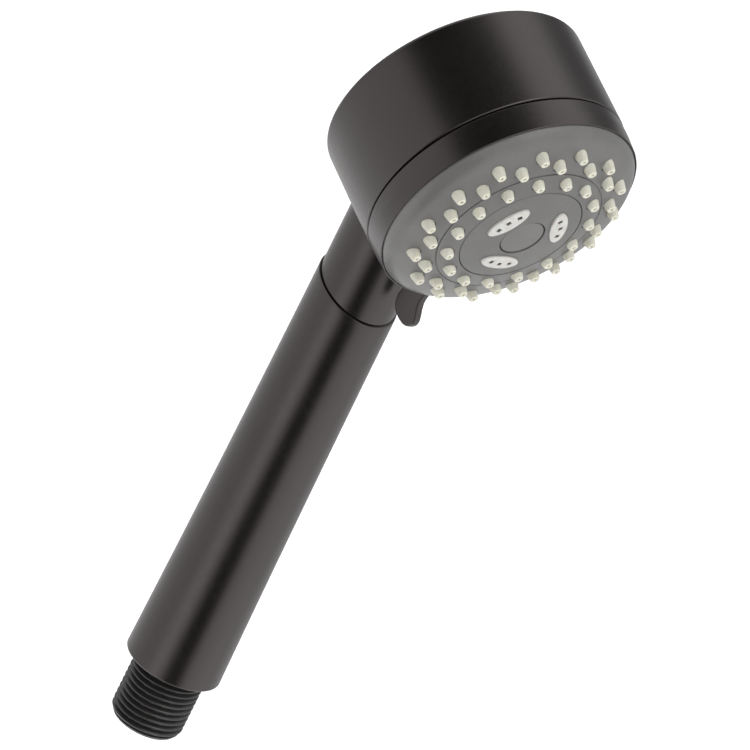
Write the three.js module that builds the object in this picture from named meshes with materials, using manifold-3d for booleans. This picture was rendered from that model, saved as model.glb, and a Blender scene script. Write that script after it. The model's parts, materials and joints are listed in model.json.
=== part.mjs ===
// Handheld shower head: a drum-shaped head with three spray patterns on a flared handle.
// Millimetres, +Z up along the handle. The origin is the middle of the inlet's end face, so the
// handle axis is the Z axis. The spray face looks towards -Y and slightly down.
//
// The head has a frame of its own: its origin is the middle of the face's rim, +z is the spray
// direction, +x runs in the face towards the handle, and +y is the world's +X.

import * as THREE from "three";
import { mergeVertices } from "three/addons/utils/BufferGeometryUtils.js";
import Module from "manifold-3d";

const wasm = await Module();
wasm.setup();

// ---- Driving dimensions ----

const GAP = 0.3; // left between pieces that touch
const PAST = 1; // how far a cutting tool reaches past the face that it cuts

// Where the head sits on the handle
const CROSSING = 202.2; // height where the head's axis crosses the handle's
const STANDOFF = 38.2; // from that crossing forward to the face's rim
const TILT = THREE.MathUtils.degToRad(18.8); // spray direction below the horizontal

// Drum and neck; distances along the handle's axis are measured down from the crossing
const DRUM_R = 36.1;
const DRUM_BACK_R = 35.9;
const DRUM_BACK = -38.2; // outer back face, in the head's frame
const DRUM_FRONT = -8.7; // front lip
const DRUM_WALL = 2.6;
const DRUM_FILLET = 1.4;
const NECK_R = 11.8;
const NECK_START = 15;
const NECK_END = 57; // head x of the oblique seam between neck and handle
const SEAM_GAP = 0.3;
const NECK_BORE = 7.9;
const NECK_BORE_START = 30;
const SPIGOT_R = 10;
const SPIGOT_OVERLAP = 10;
const SPIGOT_LENGTH = 14;
const BOSS_R = 4;
const PILOT_R = 1.65;

// Handle tube
const TUBE_TOP_R = 12.3;
const TUBE_END_R = 13.85;
const TUBE_BOTTOM = 19.5;
const TUBE_TOP_BORE = 10.3;
const TUBE_END_BORE = 12;
const TUBE_EDGE = 0.6; // rounding of the lower edge
const TUBE_STRAIGHTNESS = 0.4; // share of the flare that is a plain cone

// Inlet: a half-inch parallel pipe thread, 14 turns to the inch
const THREAD_R = 10.4775;
const THREAD_ROOT_R = 9.3;
const THREAD_PITCH = 1.814;
const THREAD_TURNS = 10;
const THREAD_START = 1.2; // length of the chamfered tip
const CREST_FROM = 0.38; // share of a pitch where a ridge's flat crest starts
const CREST_TO = 0.62;
const INLET_BORE = 6.6;
const BORE_DEPTH = 25.5;
const FLANGE_R = TUBE_END_BORE - 0.75;
const FLANGE_BOTTOM = TUBE_BOTTOM + 0.5;
const FLANGE_TOP = 28;
const PIPE_GROOVES = [32, 37];
const PIPE_SPIGOT_TOP = 42;

// Pieces in the inlet's bore, heights above the end face
const CARTRIDGE_R = 6.2;
const SCREEN = { rim: 5.4, face: 6, top: 7, radius: 6.3, faceRadius: 5 };
const SCREEN_HOLES = { count: 6, radius: 0.7, circle: 3 };
const REGULATOR = { bottom: 7.8, floor: 9.2, top: 11, bore: 1.1, grooveFrom: 2.6, grooveTo: 4.9 };
const REGULATOR_RING = { radius: 3.75, height: 10.2, section: 0.5 };
const VALVE = { bottom: 11.6, seatTop: 13, coneTop: 15, roof: 23.4, top: 24.6 };
const VALVE_RADII = { seat: 3, bore: 5, guide: 1.35 };
const VALVE_WINDOWS = { count: 4, size: [2, 1.6, 3], middle: [3.5, 0, 24] };
const POPPET = { bottom: 13, edge: 13.3, rimLow: 14.7, rimTop: 15.9, top: 24.2 };
const POPPET_RADII = { nose: 2.2, edge: 2.7, rim: 3.9, stem: 1 };
const VALVE_SPRING = { radius: 2.6, wire: 0.35, low: 16.2, high: 23.1, turns: 4 };

// Water pipe
const PIPE_R = 7.5;
const PIPE_BORE = 6.4;
const PIPE_BOTTOM = FLANGE_TOP + GAP;
const PIPE_TOP = CROSSING - 36.5;
const SPIGOT_FIT_R = 6; // spigots that slide into the pipe
const SPIGOT_WATER_R = 3.8;
const GROOVE_FLOOR = 4.65;
const GROOVE_WIDTH = 1.8;
const O_RING_R = 0.55;
const O_RING_MIDDLE_R = 5.5;

// Spray face: a shallow dome that rolls over at its rim
const DOME_R = 84;
const DOME_TOP = 9.28; // crown above the rim
const SHOULDER_R = 6.5;
const SHOULDER_SIDE_R = 35.7; // where the shoulder would stand upright
const FACE_R = 35;
const FACE_WALL = 1.6;
const FACE_EDGE = 1.2; // back edge of the rim, behind the rim's plane
const FACE_INNER_R = 17.3;
const LINE_R = 23.05; // ring line pressed into the face
const LINE_WIDTH = 0.4;
const LINE_DEPTH = 0.4;

// Middle of the face: a flatter disc with a cap
const DISC_R = 17;
const DISC_TOP = 8.8;
const DISC_CURVE = 110;
const DISC_HOLE_R = 6.35;
const CAP_R = 6.05;
const CAP_TOP = DISC_TOP - 0.25;
const CAP_BACK = 7.7;
const PLUG_R = 4.9;
const PLUG_BACK = 5.6;

// Nozzles: three rows of soft cones
const NOZZLES_PER_ROW = 15;
const NOZZLE_ROWS = [
  { radius: 28.6, tip: 6.6, turn: 0.5 },
  { radius: 25.7, tip: 7.4, turn: 0 },
  { radius: 20.3, tip: 8.5, turn: 0.5 },
];
const NOZZLE_BASE_R = 1.75;
const NOZZLE_TIP_R = 1.1;
const NOZZLE_HOLE_R = 2.2;
const NOZZLE_SIDES = 6;
const MAT_WALL = 1;
const MAT_INNER_R = 18.2;
const MAT_OUTER_R = 31;

// Massage inserts: lens-shaped cups, each with three square jets
const INSERT_COUNT = 3;
const INSERT_RADIUS = 10.15; // from the head's axis
const INSERT_LENGTH = 12.3;
const INSERT_WIDTH = 5.1;
const INSERT_PROUD = 0.6;
const INSERT_DEPTH = 2.85;
const INSERT_WALL = 0.8;
const JET_SIZE = 1.25;
const JET_RADIUS = 10.55;
const JET_SPACING = THREE.MathUtils.degToRad(17.2);

// Selector ring and its thumb tab
const RING_BACK = -8.3;
const RING_FRONT = -0.25;
const RING_SEAT = -FACE_EDGE - GAP; // step that the face's rim stands on
const RING_BACK_R = 35.95;
const RING_TAPER = -4.5; // where the outside starts to draw in
const RING_FRONT_R = 35.65;
const RING_CHAMFER = 0.2;
const RING_LIP_R = 35.3; // inside of the front lip
const RING_INNER_R = 33.3;
const TAB_THICKNESS = 2.4;
const TAB_BEVEL = 0.3;
const TAB_ROOT = 34.6; // distances from the head's axis
const TAB_REACH = 48.2;

// Rotating plates
const SPRAY_TRAVEL = THREE.MathUtils.degToRad(30); // between neighbouring spray patterns
const DISTRIBUTOR_BACK = -12;
const DISTRIBUTOR_FRONT = -8.5;
const DISTRIBUTOR_R = 32.6;
const CHANNEL_WIDTH = 3.4;
const CHANNEL_DEPTH = 1.5;
const CHANNELS = [
  { turn: -1, from: 18.5, to: 23.5 },
  { turn: 0, from: 11, to: 23.5 },
  { turn: 1, from: 20.5, to: 28.5 },
];
const PORT_HOLE_R = 2;
const NOTCH_R = 1.2;
const NOTCH_DEPTH = 0.6;
const DIVIDER_BACK = DISTRIBUTOR_FRONT + GAP;
const DIVIDER_BASE = 1.8;
const DIVIDER_R = 32.9;
const CUP_RIM = -0.9;
const CHAMBER_WALLS = [16.2, 22.4]; // inner radii of the walls between the chambers
const WALL = 1.3;
const SLEEVE = { inner: 5.2, outer: 6.4, top: DISC_TOP - FACE_WALL - 0.6 };
const WATERWAYS = [
  { radius: 20.8, turn: -1 },
  { radius: 12.8, turn: 0 },
  { radius: 26.8, turn: 1 },
];
const WATERWAY_R = 1.5;

// Turbine in the massage chamber
const BLADES = { count: 8, size: [6.4, 0.9, 6], middle: [10.6, 0, -2.2], slant: 0.45 };
const HUB = { inner: 6.75, outer: 8, low: -5.8, high: 2.2 };
const TURBINE_DISC = { outer: 13.8, high: -4.9 };

// Fixed manifold behind them
const MANIFOLD_BACK = -17;
const MANIFOLD_FRONT = -14;
const MANIFOLD_R = 33;
const MANIFOLD_SPIGOT = { start: 27, end: 47, groove: 40.5, water: 22.5 }; // along the handle
const PORT_X = 22;
const PORT_R = 4.3;
const PORT_FLOOR = -22;
const RISER_R = 8;
const RISER_BACK = -35.2;
const RISER_BORE_R = 2.8;
const RISER_BORE_FLOOR = -31;
const POST_R = 5;
const POST_TIP_R = 3.1;
const POST_SHOULDER = DISTRIBUTOR_FRONT - 0.1;
const POST_TOP = -6;
const POST_BORE_R = 1.9;
const POST_BORE_FLOOR = -16;
const POST_GROOVE = { floor: 3.8, low: -11.2, high: -9.6 };
const POST_O_RING = { radius: 4.6, height: -10.4, section: 0.4 };
const PORT_CUP = { inner: 2, outer: 3.9, lipInner: 2.2, lipOuter: 3.3, back: -17.6, neck: -13 };
const PORT_SPRING = { radius: 3.3, wire: 0.35, low: -21.7, high: -17.9, turns: 3 };

// Detent
const DETENT_CIRCLE = 26;
const DETENT_ANGLE = THREE.MathUtils.degToRad(140);
const DETENT_R = 1.9;
const DETENT_BACK = -20;
const DETENT_POCKET_R = 2.3;
const DETENT_POCKET_FLOOR = -24;
const DETENT_SEAT_R = 4;
const DETENT_SEAT_BACK = -25.5;
const DETENT_SPRING = { radius: 1.5, wire: 0.3, low: -23.7, high: -20.3, turns: 3 };

// Screws
const SCREW_CIRCLE = 26;
const SCREW_ANGLES = [70, 190, 310].map(THREE.MathUtils.degToRad);
const SCREW_HOLE_R = 1.8;
const MANIFOLD_SCREW = { head: 2.8, shank: 1.3, low: -13.7, high: -12.4, tip: -27 };
const FACE_SCREW = { head: 3.6, shank: 1.6, low: -4.4, high: -2, tip: -15 };
const FACE_WASHER = { inner: 1.9, outer: 4.8, low: -5.7, high: -4.7 };
const RECESS_WIDTH = 0.6;
const RECESS_DEPTH = 0.4;

// Facets around a turn
const FINE = 48;
const MEDIUM = 28;
const COARSE = 16;
const SMALL = 12;
const BY_NOZZLE = 2 * NOZZLES_PER_ROW; // puts every nozzle in the middle of a facet

// ---- Finishes ----

const finish = (color, roughness, metalness) => ({ color, roughness, metalness });
const BRONZE = finish(0x35302e, 0.38, 0.35);
const DARK_THREAD = finish(0x1c1a1a, 0.35, 0.1);
const GREY = finish(0x7b7a79, 0.5, 0);
const CAP_GREY = finish(0x6f6966, 0.5, 0);
const SILICONE = finish(0xdedccb, 0.55, 0);
const INSERT_WHITE = finish(0xcfc8c4, 0.5, 0);
const WHITE_PLASTIC = finish(0xd8d8d2, 0.5, 0);
const BLACK_RUBBER = finish(0x141414, 0.8, 0);
const STEEL = finish(0xb4b4b4, 0.3, 1);

// ---- Solids ----

// Joins a geometry's shared corners, drops collapsed triangles and turns every face outwards.
function closeUp(geometry) {
  const bare = new THREE.BufferGeometry();
  bare.setAttribute("position", geometry.getAttribute("position").clone());
  if (geometry.index) bare.setIndex(geometry.index.clone());
  const merged = mergeVertices(bare, 1e-4);
  const corners = merged.getAttribute("position").array;
  const index = merged.index.array;
  const kept = [];
  let volume = 0;
  for (let i = 0; i < index.length; i += 3) {
    const [a, b, c] = [index[i], index[i + 1], index[i + 2]];
    if (a === b || b === c || c === a) continue;
    kept.push(a, b, c);
    const pa = new THREE.Vector3().fromArray(corners, 3 * a);
    const pb = new THREE.Vector3().fromArray(corners, 3 * b);
    const pc = new THREE.Vector3().fromArray(corners, 3 * c);
    volume += pa.dot(pb.cross(pc));
  }
  if (volume < 0) kept.reverse();
  return { corners: new Float32Array(corners), index: new Uint32Array(kept) };
}

// A geometry as a solid that can be cut and joined.
function solid(geometry) {
  const { corners, index } = closeUp(geometry);
  return new wasm.Manifold(
    new wasm.Mesh({ numProp: 3, vertProperties: corners, triVerts: index }),
  );
}

// A solid back as a geometry.
function toGeometry(body) {
  const mesh = body.getMesh();
  const geometry = new THREE.BufferGeometry();
  geometry.setAttribute("position", new THREE.BufferAttribute(mesh.vertProperties.slice(), 3));
  geometry.setIndex(new THREE.BufferAttribute(mesh.triVerts.slice(), 1));
  return geometry;
}

const joinAll = (bodies) => bodies.reduce((sum, body) => sum.add(body));
const cutAll = (body, tools) => tools.reduce((rest, tool) => rest.subtract(tool), body);

// A profile of [radius, height] points turned about z.
function turned(profile, facets = MEDIUM) {
  const points = profile.map(([radius, height]) => new THREE.Vector2(radius, height));
  return solid(new THREE.LatheGeometry(points, facets).rotateX(Math.PI / 2));
}

// A turned ring: its profile closes on itself.
const turnedRing = (profile, facets) => turned([...profile, profile[0]], facets);

// A tube or washer between two radii and two heights.
const washer = (inner, outer, low, high, facets) =>
  turnedRing([[inner, low], [outer, low], [outer, high], [inner, high]], facets);

// A round bar along z.
const bar = (radius, low, high, facets = COARSE) =>
  turned([[0, low], [radius, low], [radius, high], [0, high]], facets);

// A round-sectioned ring about z.
function oRing({ radius, height, section }) {
  const ring = new THREE.TorusGeometry(radius, section, 6, COARSE);
  return solid(ring.translate(0, 0, height));
}

// A block given by its size and its middle.
const block = (size, middle) =>
  solid(new THREE.BoxGeometry(...size).translate(...middle));

// An outline in the xy plane drawn out along z.
function drawnOut(shape, low, high, curveSegments = 5) {
  const geometry = new THREE.ExtrudeGeometry(shape, {
    depth: high - low,
    bevelEnabled: false,
    curveSegments,
  });
  return solid(geometry.translate(0, 0, low));
}

// A wound spring about z, from one height to another.
function woundSpring({ radius, wire, low, high, turns }) {
  class Helix extends THREE.Curve {
    getPoint(t, target = new THREE.Vector3()) {
      const angle = 2 * Math.PI * turns * t;
      const height = low + wire + t * (high - low - 2 * wire);
      return target.set(radius * Math.cos(angle), radius * Math.sin(angle), height);
    }
  }
  const section = new THREE.Shape();
  section.absarc(0, 0, wire, 0, 2 * Math.PI);
  const geometry = new THREE.ExtrudeGeometry(section, {
    extrudePath: new Helix(),
    steps: Math.round(8 * turns),
    curveSegments: 3,
    bevelEnabled: false,
  });
  return solid(geometry);
}

// Places a solid by a three.js transform.
function placed(body, position, rotationZ = 0) {
  const geometry = toGeometry(body).rotateZ(rotationZ).translate(...position);
  return solid(geometry);
}

const polar = (radius, angle) => [radius * Math.cos(angle), radius * Math.sin(angle), 0];

// Copies of a solid turned evenly about z, each moved out to a radius.
function around(body, count, radius) {
  return Array.from({ length: count }, (_, i) => {
    const angle = (i * 2 * Math.PI) / count;
    return placed(body, polar(radius, angle), angle);
  });
}

// Puts a solid made about z on the handle's axis, in the head's frame, from the crossing down.
function alongHandle(body) {
  const geometry = toGeometry(body).rotateY(Math.PI / 2 - TILT).translate(0, 0, -STANDOFF);
  return solid(geometry);
}

const barAlongHandle = (radius, start, end, facets = MEDIUM) =>
  alongHandle(bar(radius, start, end, facets));

// Middle of the arc that the shoulder follows, as [radius, height].
function shoulderMiddle() {
  const radius = SHOULDER_SIDE_R - SHOULDER_R;
  return [radius, DOME_TOP - DOME_R + Math.sqrt((DOME_R - SHOULDER_R) ** 2 - radius ** 2)];
}

// Radius where the dome passes into its shoulder, on a surface offset inwards by the inset.
function shoulderStart(inset = 0) {
  return ((DOME_R - inset) * shoulderMiddle()[0]) / (DOME_R - SHOULDER_R);
}

// Height of a surface that is offset inwards from the spray face.
function domeHeight(radius, inset = 0) {
  if (radius <= shoulderStart(inset)) {
    return DOME_TOP - DOME_R + Math.sqrt((DOME_R - inset) ** 2 - radius ** 2);
  }
  const [middle, height] = shoulderMiddle();
  return height + Math.sqrt((SHOULDER_R - inset) ** 2 - (radius - middle) ** 2);
}

// Height of the flatter crown over the middle of the face, for a crown of that top.
function crownHeight(radius, top) {
  return top - DISC_CURVE + Math.sqrt(DISC_CURVE ** 2 - radius ** 2);
}

// Points along a surface of revolution between two radii.
function arc(height, from, to, steps) {
  return Array.from({ length: steps + 1 }, (_, i) => {
    const radius = THREE.MathUtils.lerp(from, to, i / steps);
    return [radius, height(radius)];
  });
}

const domeArc = (from, to, inset, steps) =>
  arc((radius) => domeHeight(radius, inset), from, to, steps);
const crownArc = (from, to, top, steps) =>
  arc((radius) => crownHeight(radius, top), from, to, steps);

// ---- Handle and inlet, in the world's frame ----

// Everything on the drum's side of the oblique seam and its hairline, as a large block.
function seamBlock() {
  const size = 90;
  const geometry = new THREE.BoxGeometry(size, size, size);
  geometry.translate(0, 0, size / 2);
  geometry.rotateX(TILT);
  const along = (NECK_END + SEAM_GAP / 2) / Math.cos(TILT);
  geometry.translate(0, 0, CROSSING - along);
  return solid(geometry);
}

function tubeRadius(share) {
  const growth = TUBE_END_R - TUBE_TOP_R;
  const bend = TUBE_STRAIGHTNESS * share + (1 - TUBE_STRAIGHTNESS) * share ** 2;
  return TUBE_TOP_R + growth * bend;
}

function handleTube() {
  const top = CROSSING - NECK_END / Math.cos(TILT);
  const over = top + 12;
  const edge = [1, 2, 3].map((step) => {
    const turn = (Math.PI / 2) * (step / 3);
    return [
      TUBE_END_R - TUBE_EDGE * (1 - Math.sin(turn)),
      TUBE_BOTTOM + TUBE_EDGE * (1 - Math.cos(turn)),
    ];
  });
  const side = [4, 3, 2, 1, 0].map((step) => {
    const share = step / 5;
    return [tubeRadius(share), THREE.MathUtils.lerp(top, TUBE_BOTTOM + TUBE_EDGE, share)];
  });
  const profile = [
    [TUBE_END_R - TUBE_EDGE, TUBE_BOTTOM],
    ...edge,
    ...side,
    [TUBE_TOP_R, over],
    [TUBE_TOP_BORE, over],
    [TUBE_END_BORE, TUBE_BOTTOM],
  ];
  return turnedRing(profile, FINE).subtract(seamBlock());
}

// Threaded inlet with the flange that closes the handle and the spigot that enters the pipe.
function inletConnector() {
  const outside = [[INLET_BORE, 0], [THREAD_ROOT_R, 0], [THREAD_ROOT_R + 0.4, THREAD_START / 2]];
  for (let turn = 0; turn < THREAD_TURNS; turn += 1) {
    const low = THREAD_START + turn * THREAD_PITCH;
    outside.push([THREAD_ROOT_R, low]);
    outside.push([THREAD_R, low + CREST_FROM * THREAD_PITCH]);
    outside.push([THREAD_R, low + CREST_TO * THREAD_PITCH]);
  }
  const runOut = THREAD_START + THREAD_TURNS * THREAD_PITCH;
  outside.push([THREAD_ROOT_R, runOut], [THREAD_ROOT_R, FLANGE_BOTTOM]);
  outside.push([FLANGE_R, FLANGE_BOTTOM], [FLANGE_R, FLANGE_TOP], [SPIGOT_FIT_R, FLANGE_TOP]);
  for (const groove of PIPE_GROOVES) {
    outside.push([SPIGOT_FIT_R, groove], [GROOVE_FLOOR, groove]);
    outside.push([GROOVE_FLOOR, groove + GROOVE_WIDTH], [SPIGOT_FIT_R, groove + GROOVE_WIDTH]);
  }
  outside.push([SPIGOT_FIT_R, PIPE_SPIGOT_TOP], [SPIGOT_WATER_R, PIPE_SPIGOT_TOP]);
  outside.push([SPIGOT_WATER_R, BORE_DEPTH], [INLET_BORE, BORE_DEPTH]);
  return turnedRing(outside, COARSE);
}

// Strainer: a rimmed disc with a ring of holes round a middle one.
function inletScreen() {
  const { rim, face, top, radius, faceRadius } = SCREEN;
  const disc = turned([
    [0, face], [faceRadius, face], [faceRadius, rim], [radius, rim], [radius, top], [0, top],
  ], COARSE);
  const hole = bar(SCREEN_HOLES.radius, rim, top + PAST, 6);
  const holes = [hole, ...around(hole, SCREEN_HOLES.count, SCREEN_HOLES.circle)];
  return cutAll(disc, holes);
}

// Flow regulator: a drilled disc whose groove holds a flexing ring.
function flowRegulator() {
  const { bottom, floor, top, bore, grooveFrom, grooveTo } = REGULATOR;
  return turnedRing([
    [bore, bottom], [CARTRIDGE_R, bottom], [CARTRIDGE_R, top], [grooveTo, top],
    [grooveTo, floor], [grooveFrom, floor], [grooveFrom, top], [bore, top],
  ], COARSE);
}

// Check valve body: a sleeve with a conical seat at the inlet end and a guide at the other.
function checkValveBody() {
  const { bottom, seatTop, coneTop, roof, top } = VALVE;
  const { seat, bore, guide } = VALVE_RADII;
  const sleeve = turnedRing([
    [seat, bottom], [CARTRIDGE_R, bottom], [CARTRIDGE_R, top], [guide, top],
    [guide, roof], [bore, roof], [bore, coneTop], [seat, seatTop],
  ], COARSE);
  const { count, size, middle } = VALVE_WINDOWS;
  return cutAll(sleeve, around(block(size, middle), count, 0));
}

// Check valve poppet: a cone on a stem that slides in the guide.
function checkValvePoppet() {
  const { bottom, edge, rimLow, rimTop, top } = POPPET;
  const radii = POPPET_RADII;
  return turned([
    [0, bottom], [radii.nose, bottom], [radii.edge, edge], [radii.rim, rimLow],
    [radii.rim, rimTop], [radii.stem, rimTop], [radii.stem, top], [0, top],
  ], COARSE);
}

function waterPipe() {
  return washer(PIPE_BORE, PIPE_R, PIPE_BOTTOM, PIPE_TOP, MEDIUM);
}

// ---- Head, in its own frame ----

function drumOutline() {
  const corner = [];
  for (let i = 0; i <= 4; i += 1) {
    const turn = (Math.PI / 2) * (i / 4);
    corner.push([
      DRUM_BACK_R - DRUM_FILLET * (1 - Math.sin(turn)),
      DRUM_BACK + DRUM_FILLET * (1 - Math.cos(turn)),
    ]);
  }
  return turned([[0, DRUM_BACK], ...corner, [DRUM_R, DRUM_FRONT], [0, DRUM_FRONT]], FINE);
}

// The neck, cut off square behind the drum and obliquely at the seam.
function neck() {
  const size = 100;
  const behind = block([2 * size, 2 * size, size], [0, 0, DRUM_BACK - size / 2]);
  const seam = NECK_END - SEAM_GAP / 2;
  const beyondSeam = block([size, size, size], [seam + size / 2, 0, -STANDOFF]);
  return cutAll(barAlongHandle(NECK_R, NECK_START, size), [behind, beyondSeam]);
}

// Drum and neck in one shell, with the spigot that enters the handle and three screw bosses.
function headHousing() {
  const floor = DRUM_BACK + DRUM_WALL;
  const seamAt = NECK_END / Math.cos(TILT);
  const spigot = barAlongHandle(SPIGOT_R, seamAt - SPIGOT_OVERLAP, seamAt + SPIGOT_LENGTH);
  const cavity = bar(DRUM_R - DRUM_WALL, floor, DRUM_FRONT + PAST, FINE);
  const shell = joinAll([drumOutline(), neck(), spigot]).subtract(cavity);
  const boss = bar(BOSS_R, floor - PAST, MANIFOLD_BACK - GAP, SMALL);
  const pilot = bar(PILOT_R, MANIFOLD_SCREW.tip - GAP, MANIFOLD_BACK, SMALL);
  const bore = barAlongHandle(NECK_BORE, NECK_BORE_START, seamAt + SPIGOT_LENGTH + PAST);
  return cutAll(joinAll([shell, ...atScrews(boss)]), [bore, ...atScrews(pilot)]);
}

// Copies of a solid at the three screw places.
const atScrews = (body) => SCREW_ANGLES.map((angle) => placed(body, polar(SCREW_CIRCLE, angle)));

// Plate, post, riser and pipe spigot in one moulding; it takes the water from pipe to port.
function waterManifold() {
  const plate = bar(MANIFOLD_R, MANIFOLD_BACK, MANIFOLD_FRONT, MEDIUM);
  const post = turned([
    [0, MANIFOLD_BACK], [POST_R, MANIFOLD_BACK], [POST_R, POST_SHOULDER],
    [POST_TIP_R, POST_SHOULDER], [POST_TIP_R, POST_TOP], [0, POST_TOP],
  ], COARSE);
  const riser = placed(bar(RISER_R, RISER_BACK, MANIFOLD_BACK + PAST), [PORT_X, 0, 0]);
  const detentPlace = polar(DETENT_CIRCLE, DETENT_ANGLE);
  const seat = placed(bar(DETENT_SEAT_R, DETENT_SEAT_BACK, MANIFOLD_BACK + PAST), detentPlace);
  const body = joinAll([plate, post, riser, seat, manifoldSpigot()]);
  const front = MANIFOLD_FRONT + PAST;
  const water = barAlongHandle(
    SPIGOT_WATER_R, MANIFOLD_SPIGOT.water, MANIFOLD_SPIGOT.end + PAST, COARSE,
  );
  return cutAll(body, [
    ...atScrews(bar(SCREW_HOLE_R, MANIFOLD_BACK - PAST, front, SMALL)),
    water,
    placed(bar(RISER_BORE_R, RISER_BORE_FLOOR, front), [PORT_X, 0, 0]),
    placed(bar(PORT_R, PORT_FLOOR, front), [PORT_X, 0, 0]),
    placed(bar(DETENT_POCKET_R, DETENT_POCKET_FLOOR, front), detentPlace),
    bar(POST_BORE_R, POST_BORE_FLOOR, POST_TOP + PAST, SMALL),
    washer(POST_GROOVE.floor, POST_R + PAST, POST_GROOVE.low, POST_GROOVE.high, COARSE),
  ]);
}

// The manifold's end in the water pipe, with its groove, cut off behind the riser.
function manifoldSpigot() {
  const { start, end, groove } = MANIFOLD_SPIGOT;
  const size = 60;
  const ring = alongHandle(
    washer(GROOVE_FLOOR, RISER_R, groove, groove + GROOVE_WIDTH, MEDIUM),
  );
  const behind = block([size, size, size], [PORT_X, 0, RISER_BACK - size / 2]);
  return cutAll(barAlongHandle(SPIGOT_FIT_R, start, end), [ring, behind]);
}

// Screw along z: a pan head with a cross recess on a plain shank with a tapered tip.
function panScrew({ head, shank, low, high, tip }) {
  const body = turned([
    [0, tip], [0.6 * shank, tip], [shank, tip + shank], [shank, low], [head, low],
    [head, high - 0.4], [head - 0.5, high], [0, high],
  ], SMALL);
  const across = 1.1 * head;
  const cross = [
    block([across, RECESS_WIDTH, 2 * RECESS_DEPTH], [0, 0, high]),
    block([RECESS_WIDTH, across, 2 * RECESS_DEPTH], [0, 0, high]),
  ];
  return cutAll(body, cross);
}

// Rubber cup that the spring holds against the turning distributor.
function portSeal() {
  const { inner, outer, lipInner, lipOuter, back, neck: neckAt } = PORT_CUP;
  const lip = DISTRIBUTOR_BACK - GAP;
  return turnedRing([
    [inner, back], [outer, back], [outer, neckAt], [lipOuter, lip], [lipInner, lip],
    [inner, neckAt],
  ], COARSE);
}

// Detent pin: its round nose rides on the distributor's back.
function detentPin() {
  const nose = DISTRIBUTOR_BACK - GAP;
  return turned([
    [0, DETENT_BACK], [DETENT_R, DETENT_BACK], [DETENT_R, nose - 1.4],
    [0.75 * DETENT_R, nose - 0.5], [0, nose],
  ], SMALL);
}

// Back plate of the spray head: three ports, and channels that lead each to its chamber.
function distributorPlate() {
  const plate = washer(POST_R + GAP, DISTRIBUTOR_R, DISTRIBUTOR_BACK, DISTRIBUTOR_FRONT, MEDIUM);
  const port = bar(PORT_HOLE_R, DISTRIBUTOR_BACK - PAST, DISTRIBUTOR_FRONT, SMALL);
  const notch = bar(NOTCH_R, DISTRIBUTOR_BACK - PAST, DISTRIBUTOR_BACK + NOTCH_DEPTH, SMALL);
  const tools = CHANNELS.flatMap(({ turn, from, to }) => {
    const angle = turn * SPRAY_TRAVEL;
    const middle = [(from + to) / 2, 0, DISTRIBUTOR_FRONT];
    const channel = block([to - from, CHANNEL_WIDTH, 2 * CHANNEL_DEPTH], middle);
    return [
      placed(port, polar(PORT_X, angle)),
      placed(channel, [0, 0, 0], angle),
      placed(notch, polar(DETENT_CIRCLE, DETENT_ANGLE + angle)),
    ];
  });
  return cutAll(plate, tools);
}

// Cup in front of it: its round walls part the outer, middle and massage chambers.
function dividerPlate() {
  const back = DIVIDER_BACK;
  const base = DIVIDER_BACK + DIVIDER_BASE;
  const root = base - 0.5;
  const hole = POST_TIP_R + 0.4;
  const roof = FACE_WALL + MAT_WALL + 2 * GAP;
  const cup = turnedRing([
    [hole, back], [DIVIDER_R, back], [DIVIDER_R, CUP_RIM], [DIVIDER_R - WALL, CUP_RIM],
    [DIVIDER_R - WALL, base], [hole, base],
  ], MEDIUM);
  const walls = CHAMBER_WALLS.map((inner) =>
    washer(inner, inner + WALL, root, domeHeight(inner + WALL, roof), MEDIUM));
  const sleeve = washer(SLEEVE.inner, SLEEVE.outer, root, SLEEVE.top, COARSE);
  const way = bar(WATERWAY_R, back - PAST, base + PAST, SMALL);
  const ways = WATERWAYS.map(({ radius, turn }) =>
    placed(way, polar(radius, turn * SPRAY_TRAVEL)));
  return cutAll(joinAll([cup, ...walls, sleeve]), ways);
}

// Soft mat under the face, with the three rows of nozzles standing on it.
function nozzleMat() {
  const top = FACE_WALL + GAP;
  const sheet = turnedRing([
    ...domeArc(MAT_INNER_R, MAT_OUTER_R, top + MAT_WALL, 2),
    ...domeArc(MAT_OUTER_R, MAT_INNER_R, top, 2),
  ], BY_NOZZLE);
  const cones = eachNozzle(({ radius, tip }) => {
    const foot = domeHeight(radius, top + MAT_WALL / 2);
    return turned([
      [0, foot], [NOZZLE_BASE_R, foot], [NOZZLE_TIP_R, tip], [0, tip],
    ], NOZZLE_SIDES);
  });
  return joinAll([sheet, ...cones]);
}

// Calls a maker for each nozzle place and moves what it makes there.
function eachNozzle(make) {
  const made = [];
  for (const row of NOZZLE_ROWS) {
    for (let i = 0; i < NOZZLES_PER_ROW; i += 1) {
      const angle = ((i + row.turn) * 2 * Math.PI) / NOZZLES_PER_ROW;
      made.push(placed(make(row), polar(row.radius, angle), angle));
    }
  }
  return made;
}

// Grey outer face, with a hole for each nozzle and one ring line.
function facePlate() {
  const half = LINE_WIDTH / 2;
  const lineFloor = domeHeight(LINE_R) - LINE_DEPTH;
  const dish = turnedRing([
    ...domeArc(FACE_INNER_R, LINE_R - half, 0, 1),
    [LINE_R - half, lineFloor],
    [LINE_R + half, lineFloor],
    ...domeArc(LINE_R + half, shoulderStart(), 0, 2),
    ...domeArc(shoulderStart(), FACE_R, 0, 4).slice(1),
    [FACE_R, -FACE_EDGE],
    [RING_INNER_R, -FACE_EDGE],
    ...domeArc(RING_INNER_R, shoulderStart(FACE_WALL), FACE_WALL, 3),
    ...domeArc(shoulderStart(FACE_WALL), FACE_INNER_R, FACE_WALL, 2).slice(1),
  ], BY_NOZZLE);
  const { tip } = NOZZLE_ROWS.at(-1);
  return cutAll(dish, eachNozzle(() => bar(NOZZLE_HOLE_R, 0, tip, NOZZLE_SIDES)));
}

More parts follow.
